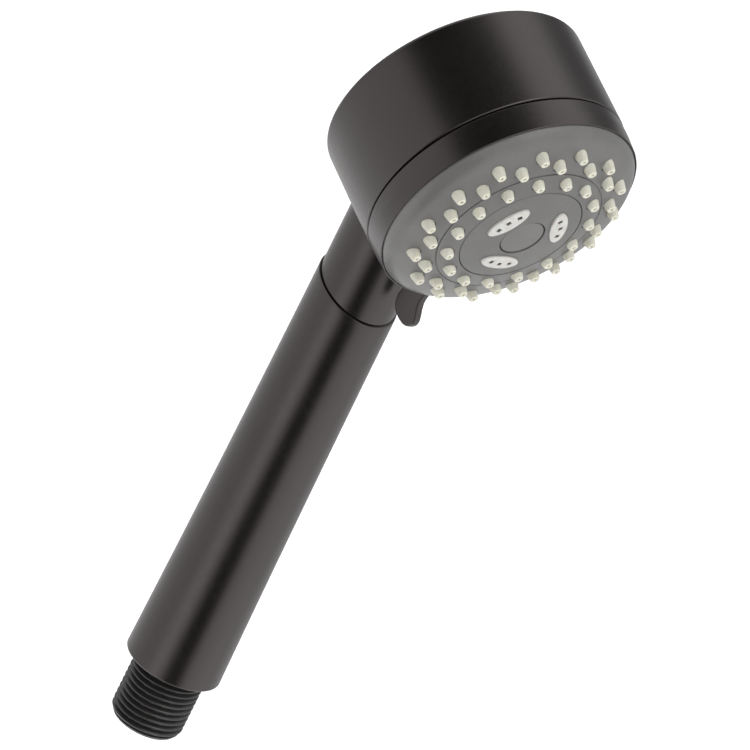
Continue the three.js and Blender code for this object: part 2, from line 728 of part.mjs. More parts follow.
// Lens-shaped outline about the origin, long axis along y.
function lens(length, width) {
  const radius = (length ** 2 + width ** 2) / (4 * width);
  const reach = Math.asin(length / 2 / radius);
  const shape = new THREE.Shape();
  shape.absarc(width / 2 - radius, 0, radius, -reach, reach);
  shape.absarc(radius - width / 2, 0, radius, Math.PI - reach, Math.PI + reach);
  return shape;
}

const insertAngle = (i) => (i * 2 * Math.PI) / INSERT_COUNT;

// Middle of the face, with an opening for each massage insert and one for the cap.
function centreDisc() {
  const disc = turnedRing([
    ...crownArc(DISC_HOLE_R, DISC_R, DISC_TOP, 2),
    ...crownArc(DISC_R, DISC_HOLE_R, DISC_TOP - FACE_WALL, 1),
  ], FINE);
  const outline = lens(INSERT_LENGTH + 4 * GAP, INSERT_WIDTH + 3 * GAP);
  const opening = drawnOut(outline, 0, DISC_TOP + PAST);
  return cutAll(disc, around(opening, INSERT_COUNT, INSERT_RADIUS));
}

// Lens-shaped cup, open at the back, with its jets through the front.
function massageInsert(i) {
  const front = crownHeight(INSERT_RADIUS, DISC_TOP) + INSERT_PROUD;
  const back = front - INSERT_DEPTH;
  const body = drawnOut(lens(INSERT_LENGTH, INSERT_WIDTH), back, front);
  const inside = lens(INSERT_LENGTH - 4 * INSERT_WALL, INSERT_WIDTH - 2 * INSERT_WALL);
  const hollow = drawnOut(inside, back - PAST, front - INSERT_WALL);
  const cup = placed(body.subtract(hollow), polar(INSERT_RADIUS, insertAngle(i)), insertAngle(i));
  const jet = block([JET_SIZE, JET_SIZE, 2 * INSERT_DEPTH], [0, 0, front]);
  const jets = [-1, 0, 1].map((side) => {
    const angle = insertAngle(i) + side * JET_SPACING;
    return placed(jet, polar(JET_RADIUS, angle), angle);
  });
  return cutAll(cup, jets);
}

// Cap over the middle screw: a crowned disc with a plug behind it.
function centreCap() {
  return turned([
    [0, PLUG_BACK], [PLUG_R, PLUG_BACK], [PLUG_R, CAP_BACK], [CAP_R, CAP_BACK],
    ...crownArc(CAP_R, 0, CAP_TOP, 2),
  ], COARSE);
}

// Outline of the thumb tab in the plane of the head's axis: [distance from axis, height].
function tabOutline() {
  const shape = new THREE.Shape();
  shape.moveTo(TAB_ROOT, -7.6);
  shape.lineTo(42.8, -7.9);
  shape.bezierCurveTo(46, -7.8, TAB_REACH, -5.6, TAB_REACH, -3);
  shape.bezierCurveTo(TAB_REACH, 0.2, 46.8, 2.6, 44.6, 2.6);
  shape.bezierCurveTo(42.6, 2.6, 41.2, -0.6, 37.8, -1);
  shape.lineTo(TAB_ROOT, -1.6);
  return shape;
}

// Dark ring round the face, with the thumb tab that turns it.
function selectorRing() {
  const ring = turnedRing([
    [RING_INNER_R, RING_BACK], [RING_BACK_R, RING_BACK], [RING_BACK_R, RING_TAPER],
    [RING_FRONT_R, RING_FRONT - RING_CHAMFER], [RING_FRONT_R - RING_CHAMFER, RING_FRONT],
    [RING_LIP_R, RING_FRONT], [RING_LIP_R, RING_SEAT], [RING_INNER_R, RING_SEAT],
  ], FINE);
  const depth = TAB_THICKNESS - 2 * TAB_BEVEL;
  const tab = new THREE.ExtrudeGeometry(tabOutline(), {
    depth,
    bevelThickness: TAB_BEVEL,
    bevelSize: TAB_BEVEL,
    bevelOffset: -TAB_BEVEL,
    bevelSegments: 1,
    curveSegments: 4,
  });
  tab.translate(0, 0, -depth / 2).rotateX(Math.PI / 2);
  return ring.add(solid(tab));
}

const faceWasher = () =>
  washer(FACE_WASHER.inner, FACE_WASHER.outer, FACE_WASHER.low, FACE_WASHER.high, COARSE);

// Massage turbine: a hub with slanted blades that spins in the middle chamber.
function turbine() {
  const hub = washer(HUB.inner, HUB.outer, HUB.low, HUB.high, COARSE);
  const disc = washer(HUB.inner, TURBINE_DISC.outer, HUB.low, TURBINE_DISC.high, COARSE);
  const blade = new THREE.BoxGeometry(...BLADES.size);
  blade.rotateX(BLADES.slant).translate(...BLADES.middle);
  return joinAll([hub, disc, ...around(solid(blade), BLADES.count, 0)]);
}

// ---- Assembly ----

function meshOf(name, body, look) {
  const geometry = toGeometry(body);
  geometry.computeVertexNormals();
  const mesh = new THREE.Mesh(geometry, new THREE.MeshStandardMaterial(look));
  mesh.name = name;
  return mesh;
}

// A ring in the middle of a groove of the water pipe's spigots.
function pipeRing(groove) {
  const height = groove + GROOVE_WIDTH / 2;
  return oRing({ radius: O_RING_MIDDLE_R, height, section: O_RING_R });
}

function buildHandle() {
  const handle = new THREE.Group();
  const upperGroove = CROSSING - MANIFOLD_SPIGOT.groove - GROOVE_WIDTH;
  handle.add(
    meshOf("handle_tube", handleTube(), BRONZE),
    meshOf("inlet_connector", inletConnector(), DARK_THREAD),
    meshOf("inlet_screen", inletScreen(), STEEL),
    meshOf("flow_regulator", flowRegulator(), WHITE_PLASTIC),
    meshOf("regulator_ring", oRing(REGULATOR_RING), BLACK_RUBBER),
    meshOf("check_valve_body", checkValveBody(), WHITE_PLASTIC),
    meshOf("check_valve_poppet", checkValvePoppet(), WHITE_PLASTIC),
    meshOf("check_valve_spring", woundSpring(VALVE_SPRING), STEEL),
    meshOf("water_pipe", waterPipe(), WHITE_PLASTIC),
    meshOf("pipe_o_ring_lower", pipeRing(PIPE_GROOVES[0]), BLACK_RUBBER),
    meshOf("pipe_o_ring_middle", pipeRing(PIPE_GROOVES[1]), BLACK_RUBBER),
    meshOf("pipe_o_ring_upper", pipeRing(upperGroove), BLACK_RUBBER),
  );
  return handle;
}

function buildFixedHead() {
  const fixed = new THREE.Group();
  fixed.add(
    meshOf("head_housing", headHousing(), BRONZE),
    meshOf("water_manifold", waterManifold(), WHITE_PLASTIC),
    meshOf("pivot_o_ring", oRing(POST_O_RING), BLACK_RUBBER),
    meshOf("face_screw", panScrew(FACE_SCREW), STEEL),
    meshOf("face_screw_washer", faceWasher(), STEEL),
  );
  SCREW_ANGLES.forEach((angle, i) => {
    const screw = meshOf(`manifold_screw_${i + 1}`, panScrew(MANIFOLD_SCREW), STEEL);
    screw.position.set(...polar(SCREW_CIRCLE, angle));
    fixed.add(screw);
  });
  const seal = meshOf("port_seal", portSeal(), BLACK_RUBBER);
  const sealSpring = meshOf("port_seal_spring", woundSpring(PORT_SPRING), STEEL);
  for (const piece of [seal, sealSpring]) {
    piece.position.set(PORT_X, 0, 0);
    fixed.add(piece);
  }
  const pin = meshOf("detent_pin", detentPin(), WHITE_PLASTIC);
  const pinSpring = meshOf("detent_spring", woundSpring(DETENT_SPRING), STEEL);
  for (const piece of [pin, pinSpring]) {
    piece.position.set(...polar(DETENT_CIRCLE, DETENT_ANGLE));
    fixed.add(piece);
  }
  return fixed;
}

function buildSprayHead() {
  const spray = new THREE.Group();
  spray.add(
    meshOf("selector_ring", selectorRing(), BRONZE),
    meshOf("distributor_plate", distributorPlate(), WHITE_PLASTIC),
    meshOf("divider_plate", dividerPlate(), WHITE_PLASTIC),
    meshOf("nozzle_mat", nozzleMat(), SILICONE),
    meshOf("face_plate", facePlate(), GREY),
    meshOf("centre_disc", centreDisc(), GREY),
    meshOf("centre_cap", centreCap(), CAP_GREY),
    meshOf("massage_turbine", turbine(), WHITE_PLASTIC),
  );
  for (let i = 0; i < INSERT_COUNT; i += 1) {
    spray.add(meshOf(`massage_insert_${i + 1}`, massageInsert(i), INSERT_WHITE));
  }
  return spray;
}

// The head's frame in the world: see the note at the top.
function headFrame() {
  const sine = Math.sin(TILT);
  const cosine = Math.cos(TILT);
  const forward = new THREE.Vector3(0, -cosine, -sine);
  const basis = new THREE.Matrix4().makeBasis(
    new THREE.Vector3(0, sine, -cosine),
    new THREE.Vector3(1, 0, 0),
    forward,
  );
  const head = new THREE.Group();
  head.quaternion.setFromRotationMatrix(basis);
  head.position.set(0, 0, CROSSING).addScaledVector(forward, STANDOFF);
  return head;
}

const head = headFrame();
head.add(buildFixedHead(), buildSprayHead());

const shower = new THREE.Group();
shower.add(buildHandle(), head);

export default shower;
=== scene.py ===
# Handheld shower head: finished surfaces, materials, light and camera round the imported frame.
#
# Shapes are worked out in millimetres and turned into metres when a piece is put in place.
# The handle and inlet are made in the row frame. The head is made in a frame of its own: its
# origin is the middle of the face's rim, +z is the spray direction, +x runs in the face towards
# the handle, and +y is the row's +X.

import json
from math import asin, cos, hypot, pi, radians, sin, sqrt, tan

import bmesh
import bpy
from mathutils import Matrix, Vector


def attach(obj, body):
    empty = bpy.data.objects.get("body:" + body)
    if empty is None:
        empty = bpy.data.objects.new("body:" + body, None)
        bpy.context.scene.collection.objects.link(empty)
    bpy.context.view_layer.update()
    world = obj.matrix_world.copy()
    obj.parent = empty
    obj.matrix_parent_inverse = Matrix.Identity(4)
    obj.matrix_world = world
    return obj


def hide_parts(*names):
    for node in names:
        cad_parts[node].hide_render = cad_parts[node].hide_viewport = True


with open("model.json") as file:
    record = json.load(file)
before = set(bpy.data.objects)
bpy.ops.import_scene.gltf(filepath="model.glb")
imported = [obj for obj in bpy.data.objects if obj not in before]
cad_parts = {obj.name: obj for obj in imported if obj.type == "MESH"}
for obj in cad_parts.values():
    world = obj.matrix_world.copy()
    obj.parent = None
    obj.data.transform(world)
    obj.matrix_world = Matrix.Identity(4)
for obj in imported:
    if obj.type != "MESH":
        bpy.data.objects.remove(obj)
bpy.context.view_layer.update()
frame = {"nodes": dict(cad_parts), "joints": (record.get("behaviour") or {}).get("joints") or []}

# ---- Driving dimensions, as in the CAD source (mm) ----

MM = 0.001
HEAD_TURN = next(joint for joint in frame["joints"] if joint["name"] == "spray_head_turn")
SPRAY = Vector(HEAD_TURN["axis"])
CROSSING = HEAD_TURN["pos_m"][2] / MM  # height where the head's axis crosses the handle's
STANDOFF = 38.2  # from that crossing forward to the face's rim
TILT = asin(-SPRAY.z)  # spray direction below the horizontal

DRUM_R = 36.1
DRUM_BACK_R = 35.9
DRUM_BACK = -38.2
DRUM_FRONT = -8.7
DRUM_LIP = 0.5  # rounding of the front lip
DRUM_WALL = 2.6
DRUM_FILLET = 1.4
NECK_R = 11.8
NECK_END = 57  # head x of the oblique seam between neck and handle
SEAM_GAP = 0.1  # a hairline
SEAM_EDGE = 0.25
NECK_BORE = 7.9
SPIGOT_R = 10
SPIGOT_LENGTH = 14
BOSS_CIRCLE = 26
BOSS_ANGLES = (70, 190, 310)
BOSS_TOP = -17.3
BOSS_R = 4
BOSS_HOLE_R = 1.65
BOSS_HOLE = (-30, -10)  # from and to, on the head's axis
NECK_BORE_REACH = (30, 90)  # from and to, from the crossing along the handle
SPIGOT_ROOT = 10  # how far the spigot runs back into the neck
CAVITY_STEP = 5  # how far the drum's cavity is cut past its front

TUBE_TOP_R = 12.3
TUBE_END_R = 13.85
TUBE_BOTTOM = 19.5
TUBE_TOP_BORE = 10.3
TUBE_END_BORE = 12
TUBE_EDGE = 0.6
TUBE_LIP = 0.35  # bevel of its bore at the seam
TUBE_STRAIGHTNESS = 0.4  # share of the flare that is a plain cone

THREAD_R = 10.4775
THREAD_ROOT_R = 9.3
THREAD_PITCH = 1.814
THREAD_START = 1.8  # length of the chamfered tip
THREAD_END = 19.6
CREST_AT = 0.8  # height of a crest on the row's +X side
CREST_BREADTH = 0.7  # below 1 the crests are broad and the valleys narrow
INLET_BORE = 6.6
BORE_DEPTH = 25.5
SCREEN_HOLE_R = 0.36
SCREEN_HOLE_STEP = 1.05  # between rings of holes
SCREEN_RINGS = 4
FLANGE_R = 11.25
FLANGE_BOTTOM = 20
FLANGE_TOP = 28
SPIGOT_FIT_R = 6
SPIGOT_WATER_R = 3.8
PIPE_SPIGOT_TOP = 42
GROOVES = (32, 37)
GROOVE_WIDTH = 1.8
GROOVE_FLOOR = 4.65

DOME_R = 84
DOME_TOP = 9.28
SHOULDER_R = 6.5
SHOULDER_SIDE_R = 35.7  # where the shoulder would stand upright
FACE_R = 35.12
FACE_WALL = 1.6
FACE_EDGE = 1.2
FACE_INNER_R = 17.16
LINE_R = 23.05
LINE_WIDTH = 0.3
LINE_DEPTH = 0.25
DISC_R = 17
DISC_TOP = 8.8
DISC_CURVE = 110
DISC_HOLE_R = 6.35
CAP_R = 6.05
CAP_TOP = DISC_TOP - 0.25
CAP_BACK = 7.7
PLUG_R = 4.9
PLUG_BACK = 5.6

NOZZLES_PER_ROW = 15
NOZZLE_ROWS = (  # radius, height of the tips, turn in nozzle spacings
    (28.6, 6.6, 0.5),
    (25.7, 7.4, 0.0),
    (20.3, 8.5, 0.5),
)
NOZZLE_BASE_R = 1.75
NOZZLE_TIP_R = 1.15
NOZZLE_HOLE_R = 0.42
NOZZLE_CLEARANCE = 0.08
NOZZLE_ROUNDING = 0.32
NOZZLE_HOLE_EDGE = 0.12
NOZZLE_HOLE_DEPTH = 0.8
NOZZLE_HOLE_TAPER = 0.8
NOZZLE_SINK = 0.25  # its cylindrical foot ends this far below the face
MAT_GAP = 0.3
MAT_WALL = 1
MAT_INNER_R = 18.2
MAT_OUTER_R = 31

INSERT_COUNT = 3
INSERT_RADIUS = 10.15
INSERT_LENGTH = 12.3
INSERT_WIDTH = 5.1
INSERT_PROUD = 0.6
INSERT_DEPTH = 2.85
INSERT_WALL = 0.8
INSERT_ROOF = 0.25
INSERT_EDGE = 0.35
INSERT_CLEARANCE = 0.08
JET_SIZE = 1.25
JET_RADIUS = 10.55
JET_SPACING = radians(17.2)

RING_BACK = -8.3
RING_FRONT = -0.25
RING_SEAT = -FACE_EDGE - 0.3
RING_BACK_R = 35.95
RING_TAPER = -4.4
RING_FRONT_R = 35.65
RING_LIP_R = 35.3
RING_INNER_R = 33.3
TAB_THICKNESS = 2.4
TAB_EDGE = 0.6
TAB_ROOT = 34.4
TAB_REACH = 48.2

# ---- Fineness ----

SIDES = 180  # facets round a large turned piece
SMALL_SIDES = 40  # and round a nozzle or a screw hole
FILLET_STEPS = 6
DOME_STEPS = 14
SHARP = radians(32)
TINY = 1e-6

# ---- Meshes ----


def as_object(name, bm):
    """The mesh as an object of the scene, with its faces turned outwards."""
    bmesh.ops.recalc_face_normals(bm, faces=bm.faces)
    mesh = bpy.data.meshes.new(name)
    bm.to_mesh(mesh)
    bm.free()
    made = bpy.data.objects.new(name, mesh)
    bpy.context.scene.collection.objects.link(made)
    return made


def loft(name, rings, closed=False):
    """Skin over rings of points. A ring of one point is a pole, and an open end is capped."""
    bm = bmesh.new()
    made = [[bm.verts.new(point) for point in ring] for ring in rings]
    pairs = list(zip(made, made[1:]))
    if closed:
        pairs.append((made[-1], made[0]))
    for low, high in pairs:
        count = max(len(low), len(high))
        for i in range(count):
            j = (i + 1) % count
            corners = [low[i % len(low)], low[j % len(low)], high[j % len(high)], high[i % len(high)]]
            bm.faces.new(list(dict.fromkeys(corners)))
    if not closed:
        for end in (made[0], made[-1]):
            if len(end) > 2:
                bm.faces.new(end)
    return as_object(name, bm)


def circle(radius, height, sides=SIDES):
    """Points of a level circle about z, or its one middle point."""
    if radius < TINY:
        return [(0, 0, height)]
    angles = [2 * pi * i / sides for i in range(sides)]
    return [(radius * cos(angle), radius * sin(angle), height) for angle in angles]


def fillet(corner, before, after, radius):
    """Arc that rounds a corner between the directions to its two neighbours."""
    first, second = before.normalized(), after.normalized()
    half = first.angle(second) / 2
    middle = corner + (first + second).normalized() * radius / sin(half)
    start = corner + first * radius / tan(half) - middle
    end = corner + second * radius / tan(half) - middle
    swing = start.angle(end)
    arc = []
    for i in range(FILLET_STEPS + 1):
        share = i / FILLET_STEPS
        spoke = start * sin((1 - share) * swing) + end * sin(share * swing)
        arc.append(tuple(middle + spoke / sin(swing)))
    return arc


def rounded(points):
    """Profile from (radius, height) points; a third number rounds that corner."""
    profile = []
    for i, point in enumerate(points):
        corner = Vector(point[:2])
        if len(point) < 3:
            profile.append(tuple(corner))
            continue
        before = Vector(points[i - 1][:2]) - corner
        after = Vector(points[(i + 1) % len(points)][:2]) - corner
        profile += fillet(corner, before, after, point[2])
    return profile


def turned(name, points, closed=False, sides=SIDES):
    """A profile turned about z. It starts and ends on the axis, or closes on itself."""
    rings = [circle(radius, height, sides) for radius, height in rounded(points)]
    return loft(name, rings, closed)


def bar(radius, low, high, sides=SMALL_SIDES):
    """A round bar along z."""
    return turned("bar", [(0, low), (radius, low), (radius, high), (0, high)], sides=sides)


def moved(part, place):
    part.data.transform(place)
    return part


def discard(part):
    mesh = part.data
    bpy.data.objects.remove(part)
    bpy.data.meshes.remove(mesh)


def repeated(part, places):
    """One mesh with a copy of the part at each place."""
    bm = bmesh.new()
    for place in places:
        copy = part.data.copy()
        copy.transform(place)
        bm.from_mesh(copy)
        bpy.data.meshes.remove(copy)
    name = part.name
    discard(part)
    return as_object(name, bm)


def apply_modifiers(part):
    """Turns what the modifiers show into the part's own mesh."""
    rough = part.data
    graph = bpy.context.evaluated_depsgraph_get()
    part.data = bpy.data.meshes.new_from_object(part.evaluated_get(graph))
    part.modifiers.clear()
    bpy.data.meshes.remove(rough)


def combine(operation, body, tools):
    for tool in tools:
        modifier = body.modifiers.new("combine", "BOOLEAN")
        modifier.operation = operation
        modifier.solver = "EXACT"
        modifier.object = tool
        apply_modifiers(body)
        discard(tool)
    return body


def join(body, *tools):
    return combine("UNION", body, tools)


def cut(body, *tools):
    return combine("DIFFERENCE", body, tools)


def smoothed(part):
    """Smooth shading with crisp edges, weighted so that flat faces stay flat."""
    for face in part.data.polygons:
        face.use_smooth = True
    part.data.set_sharp_from_angle(angle=SHARP)
    weights = part.modifiers.new("weights", "WEIGHTED_NORMAL")
    weights.keep_sharp = True
    apply_modifiers(part)
    return part


def spot(radius, angle):
    """Place at a radius from the axis and an angle about it, turned to face outwards."""
    return Matrix.Rotation(angle, 4, "Z") @ Matrix.Translation((radius, 0, 0))


# ---- The head's frame ----


def head_frame():
    across = Vector((1, 0, 0))
    towards_handle = across.cross(SPRAY)
    middle = Vector((0, 0, CROSSING)) + STANDOFF * SPRAY
    columns = (towards_handle, across, SPRAY, middle)
    place = Matrix.Identity(4)
    for i, column in enumerate(columns):
        for row in range(3):
            place[row][i] = column[row]
    return place


HEAD = head_frame()
ROW = Matrix.Identity(4)


def along_handle(radius, start, end, sides=96):
    """A bar along the handle's axis, in the head's frame, between distances from the crossing."""
    turn = Matrix.Rotation(pi / 2 - TILT, 4, "Y")
    return moved(bar(radius, start, end, sides), Matrix.Translation((0, 0, -STANDOFF)) @ turn)


def seam_height(y, head_x):
    """Height on the row's z of the plane at that head x, at a distance y from the handle's axis."""
    middle = HEAD.translation
    return middle.z + (sin(TILT) * (y - middle.y) - head_x) / cos(TILT)


def shoulder_middle():
    """Middle of the arc that the shoulder follows, as (radius, height)."""
    radius = SHOULDER_SIDE_R - SHOULDER_R
    return radius, DOME_TOP - DOME_R + sqrt((DOME_R - SHOULDER_R) ** 2 - radius**2)


def shoulder_start(inset=0):
    """Radius where the dome passes into its shoulder."""
    return (DOME_R - inset) * shoulder_middle()[0] / (DOME_R - SHOULDER_R)


def dome_height(radius, inset=0):
    """Height of a surface that is offset inwards from the spray face."""
    if radius <= shoulder_start(inset):
        return DOME_TOP - DOME_R + sqrt((DOME_R - inset) ** 2 - radius**2)
    middle, height = shoulder_middle()
    return height + sqrt((SHOULDER_R - inset) ** 2 - (radius - middle) ** 2)


def dome_arc(start, end, inset=0, steps=DOME_STEPS):
    radii = [start + (end - start) * i / steps for i in range(steps + 1)]
    return [(radius, dome_height(radius, inset)) for radius in radii]


def shoulder_arc(inset, start_turn, end_turn):
    """Points round the shoulder between two angles from the head's axis."""
    middle, height = shoulder_middle()
    points = []
    for i in range(DOME_STEPS + 1):
        turn = start_turn + (end_turn - start_turn) * i / DOME_STEPS
        reach = SHOULDER_R - inset
        points.append((middle + reach * sin(turn), height + reach * cos(turn)))
    return points


def crown_height(radius, top=DISC_TOP):
    """Height of the flatter crown over the middle of the face."""
    return top - DISC_CURVE + sqrt(DISC_CURVE**2 - radius**2)


def crown_arc(start, end, top=DISC_TOP, steps=8):
    radii = [start + (end - start) * i / steps for i in range(steps + 1)]
    return [(radius, crown_height(radius, top)) for radius in radii]


# ---- Handle and inlet ----


def tube_radius(share):
    share = max(share, 0)
    bend = TUBE_STRAIGHTNESS * share + (1 - TUBE_STRAIGHTNESS) * share**2
    return TUBE_TOP_R + (TUBE_END_R - TUBE_TOP_R) * bend


def oblique_ring(radius, head_x, sides=SIDES):
    """Points where a tube about z meets the oblique plane at that head x."""
    flat = circle(radius, 0, sides)
    return [(x, y, seam_height(y, head_x)) for x, y, _ in flat]


def handle_tube():
    seam = NECK_END + SEAM_GAP / 2
    edge = SEAM_EDGE
    lip = TUBE_LIP
    rings = [
        oblique_ring(TUBE_TOP_BORE, seam + lip),
        oblique_ring(TUBE_TOP_BORE + lip, seam),
        oblique_ring(TUBE_TOP_R - edge, seam),
        oblique_ring(TUBE_TOP_R - 0.3 * edge, seam + 0.3 * edge),
        oblique_ring(TUBE_TOP_R, seam + edge),
    ]
    top = seam_height(0, seam)
    length = top - TUBE_BOTTOM
    steps = 60
    for i in range(1, steps + 1):
        share = i / steps
        level = top + (TUBE_BOTTOM + TUBE_EDGE - top) * share
        ring = []
        for x, y, height in oblique_ring(1, seam + edge):
            slant = (seam_height(TUBE_TOP_R * y, seam + edge) - top) * (1 - share) ** 3
            z = level + slant
            radius = tube_radius((top - z) / length)
            ring.append((radius * x, radius * y, z))
        rings.append(ring)
    lower = [
        (TUBE_END_R, TUBE_BOTTOM + TUBE_EDGE + 0.01),
        (TUBE_END_R, TUBE_BOTTOM, TUBE_EDGE),
        (TUBE_END_BORE, TUBE_BOTTOM, 0.15),
        (TUBE_END_BORE, TUBE_BOTTOM + 1),
    ]
    rings += [circle(radius, height) for radius, height in rounded(lower)[1:]]
    return loft("finished_handle_tube", rings, closed=True)


def thread_radius(angle, height):
    """A rounded right-hand thread that starts behind a chamfer and fades out at its end."""
    phase = (height - CREST_AT) / THREAD_PITCH - angle / (2 * pi)
    wave = (0.5 + 0.5 * cos(2 * pi * phase)) ** CREST_BREADTH
    fade = min(max((THREAD_END - height) / 0.6, 0), 1)
    depth = THREAD_R - THREAD_ROOT_R
    crest = THREAD_ROOT_R + depth * wave * fade
    chamfer = THREAD_ROOT_R + depth * height / THREAD_START
    return min(crest, chamfer)


def inlet_connector():
    sides = 144
    level = 0.11
    angles = [2 * pi * i / sides for i in range(sides)]
    rings = []
    for step in range(round((THREAD_END + 0.2) / level) + 1):
        height = step * level
        radii = [thread_radius(angle, height) for angle in angles]
        rings.append([(r * cos(a), r * sin(a), height) for r, a in zip(radii, angles)])
    outside = [
        (THREAD_ROOT_R, FLANGE_BOTTOM, 0.3),
        (FLANGE_R, FLANGE_BOTTOM, 0.3),
        (FLANGE_R, FLANGE_TOP, 0.3),
        (SPIGOT_FIT_R, FLANGE_TOP),
    ]
    for groove in GROOVES:
        outside += [(SPIGOT_FIT_R, groove), (GROOVE_FLOOR, groove)]
        outside += [(GROOVE_FLOOR, groove + GROOVE_WIDTH), (SPIGOT_FIT_R, groove + GROOVE_WIDTH)]
    inside = [
        (SPIGOT_FIT_R, PIPE_SPIGOT_TOP, 0.6),
        (SPIGOT_WATER_R, PIPE_SPIGOT_TOP, 0.3),
        (SPIGOT_WATER_R, BORE_DEPTH),
        (INLET_BORE, BORE_DEPTH),
        (INLET_BORE, 0, 0.5),
    ]
    profile = rounded([(THREAD_ROOT_R, THREAD_END)] + outside + inside + [(THREAD_ROOT_R, 0)])
    rings += [circle(radius, height, sides) for radius, height in profile[1:-1]]
    return loft("finished_inlet_connector", rings, closed=True)


def inlet_screen():
    """Strainer: a rimmed, slightly domed disc drilled with rings of small holes."""
    disc = turned("finished_inlet_screen", [
        (0, 5.6), (4.9, 6, 1), (5.1, 5.4, 0.1), (6.3, 5.4, 0.2),
        (6.3, 7, 0.2), (5.2, 7), (4.9, 6.3, 1), (0, 5.9),
    ], sides=96)
    places = [Matrix.Identity(4)]
    for ring in range(1, SCREEN_RINGS + 1):
        holes = 6 * ring
        places += [spot(SCREEN_HOLE_STEP * ring, 2 * pi * i / holes) for i in range(holes)]
    return cut(disc, repeated(bar(SCREEN_HOLE_R, 5, 7, 12), places))


# ---- Fixed part of the head ----


def head_housing():
    """Drum and neck in one shell, with the spigot that enters the handle and three bosses."""
    inner = DRUM_R - DRUM_WALL
    floor = DRUM_BACK + DRUM_WALL
    front = DRUM_FRONT + CAVITY_STEP
    drum = turned("finished_head_housing", [
        (0, DRUM_BACK), (DRUM_BACK_R, DRUM_BACK, DRUM_FILLET),
        (DRUM_R, DRUM_FRONT, DRUM_LIP), (0, DRUM_FRONT),
    ])
    neck = neck_bar()
    seam_at = NECK_END / cos(TILT)
    spigot = along_handle(SPIGOT_R, seam_at - SPIGOT_ROOT, seam_at + SPIGOT_LENGTH)
    cavity = turned("cavity", [
        (0, floor), (inner, floor, 1), (inner, front), (0, front),
    ])
    boss_places = [spot(BOSS_CIRCLE, radians(angle)) for angle in BOSS_ANGLES]
    shell = cut(join(drum, neck, spigot), cavity)
    join(shell, repeated(bar(BOSS_R, floor - 1, BOSS_TOP), boss_places))
    holes = repeated(bar(BOSS_HOLE_R, *BOSS_HOLE), boss_places)
    cut(shell, along_handle(NECK_BORE, *NECK_BORE_REACH), holes)
    return shell


def neck_bar():
    """The neck, in the head's frame: from inside the drum to the oblique seam, its edge eased."""
    seam = NECK_END - SEAM_GAP / 2
    edge = SEAM_EDGE
    top = CROSSING - 20
    rings = [
        circle(NECK_R, top),
        oblique_ring(NECK_R, seam - edge),
        oblique_ring(NECK_R - 0.3 * edge, seam - 0.3 * edge),
        oblique_ring(NECK_R - edge, seam),
    ]
    neck = moved(loft("neck", rings), HEAD.inverted())
    behind = bar(60, DRUM_BACK - 40, DRUM_BACK + 0.01, 8)
    return cut(neck, behind)


# ---- Turning part of the head ----


def nozzle_spots(row):
    radius, _, turn = row
    step = 2 * pi / NOZZLES_PER_ROW
    return [spot(radius, (i + turn) * step) for i in range(NOZZLES_PER_ROW)]


def nozzle(row):
    """A soft cone with a rounded tip and a small dimpled orifice."""
    radius, tip, _ = row
    foot = dome_height(radius, FACE_WALL + MAT_GAP + MAT_WALL / 2)
    shoulder = dome_height(radius) - NOZZLE_SINK
    floor = tip - NOZZLE_HOLE_DEPTH
    return turned("nozzle", [
        (0, foot), (NOZZLE_BASE_R, foot), (NOZZLE_BASE_R, shoulder),
        (NOZZLE_TIP_R, tip, NOZZLE_ROUNDING), (NOZZLE_HOLE_R, tip, NOZZLE_HOLE_EDGE),
        (NOZZLE_HOLE_R * NOZZLE_HOLE_TAPER, floor), (0, floor),
    ], sides=SMALL_SIDES)


def nozzle_mat():
    top = FACE_WALL + MAT_GAP
    sheet = turned("finished_nozzle_mat", [
        *dome_arc(MAT_INNER_R, MAT_OUTER_R, top + MAT_WALL),
        *dome_arc(MAT_OUTER_R, MAT_INNER_R, top),
    ], closed=True)
    return join(sheet, *(repeated(nozzle(row), nozzle_spots(row)) for row in NOZZLE_ROWS))


def face_plate():
    """Grey dome with a hole for each nozzle and one pressed ring line."""
    half = LINE_WIDTH / 2
    line_floor = dome_height(LINE_R) - LINE_DEPTH
    middle = shoulder_middle()[0]
    roll = asin(middle / (DOME_R - SHOULDER_R))
    rim = asin((FACE_R - middle) / SHOULDER_R)
    dish = turned("finished_face_plate", [
        (FACE_INNER_R, dome_height(FACE_INNER_R), 0.12),
        *dome_arc(FACE_INNER_R + 0.3, LINE_R - half - 0.2, steps=6),
        (LINE_R - half, dome_height(LINE_R - half), 0.08),
        (LINE_R - half, line_floor),
        (LINE_R + half, line_floor),
        (LINE_R + half, dome_height(LINE_R + half), 0.08),
        *dome_arc(LINE_R + half + 0.2, shoulder_start() - 0.3, steps=8),
        *shoulder_arc(0, roll, rim),
        (FACE_R, -FACE_EDGE, 0.12),
        (RING_INNER_R, -FACE_EDGE),
        *dome_arc(RING_INNER_R, FACE_INNER_R, FACE_WALL, 24),
    ], closed=True)
    hole = NOZZLE_BASE_R + NOZZLE_CLEARANCE
    for row in NOZZLE_ROWS:
        cut(dish, repeated(bar(hole, 0, NOZZLE_ROWS[-1][1]), nozzle_spots(row)))
    return dish


def oval(length, width, height, sides=64):
    """Level oval about the origin, long axis along y."""
    return [(width / 2 * x, length / 2 * y, height) for x, y, _ in circle(1, 0, sides)]


def insert_places():
    return [spot(INSERT_RADIUS, 2 * pi * i / INSERT_COUNT) for i in range(INSERT_COUNT)]


